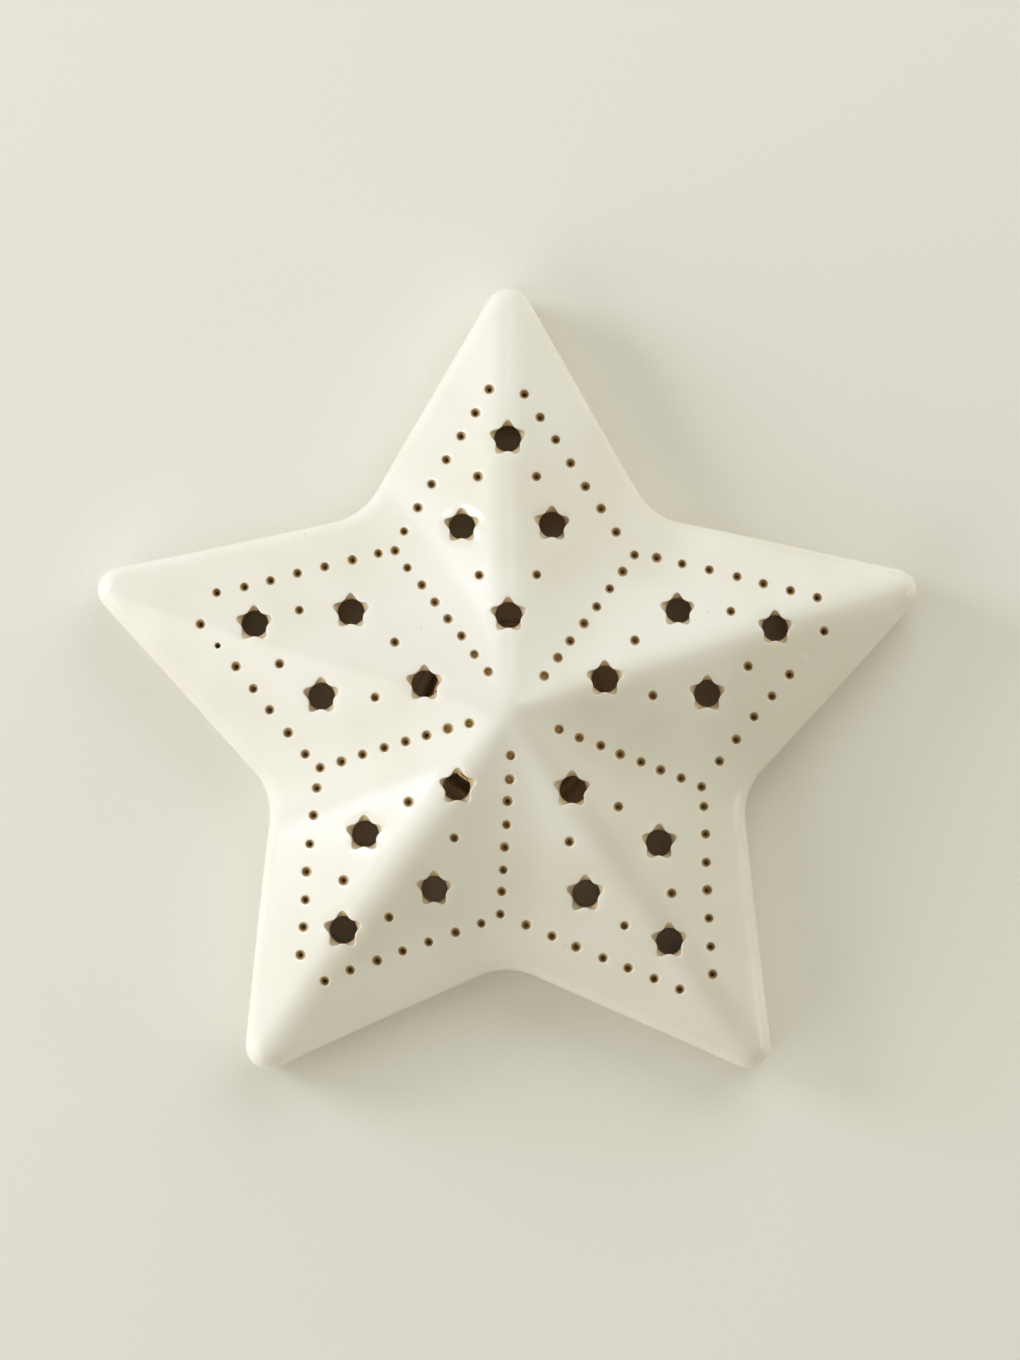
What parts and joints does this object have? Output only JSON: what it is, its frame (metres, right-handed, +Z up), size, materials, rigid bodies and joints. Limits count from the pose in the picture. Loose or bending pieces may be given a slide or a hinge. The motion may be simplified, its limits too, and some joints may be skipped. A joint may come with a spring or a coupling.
{
  "type": "tealight holder",
  "caption": "Pierced star-shaped ceramic cover that lifts off a star tray and lets the light of the tealight under it shine through.",
  "frame": {"origin": "on the star's axis, at the underside of the tray, where the holder rests on a table", "axes": "+Z up, +Y along one arm of the star, +X across it to the right as seen from above"},
  "size_m": [0.2008, 0.1915, 0.0497],
  "materials": {
    "tray_glaze": "cream-white glaze, glossy, thinner and warmer at the edges",
    "cover_glaze": "cream-white glaze, glossy, pooled at the edges of the piercings, buff clay inside them",
    "cup_aluminium": "pressed thin sheet, satin",
    "wax": "white paraffin wax, waxy sheen",
    "sustainer_tin": "thin tinplate",
    "wick_cotton": "braided cotton, charred at the tip"
  },
  "bodies": {
    "base": {"star_tray": "tray_glaze"},
    "cover": {"star_cover": "cover_glaze"},
    "tealight": {"tealight_cup": "cup_aluminium", "tealight_wax": "wax", "wick_sustainer": "sustainer_tin", "tealight_wick": "wick_cotton"}
  },
  "joints": [
    {"name": "cover_lift", "type": "slide", "parent": "base", "child": "cover", "axis": [0, 0, 1], "range_m": [0, 0.1]},
    {"name": "tealight_lift", "type": "slide", "parent": "base", "child": "tealight", "axis": [0, 0, 1], "range_m": [0, 0.05]}
  ],
  "couplings": [
    {"joint": "tealight_lift", "follows": "cover_lift", "ratio": 0.5}
  ]
}
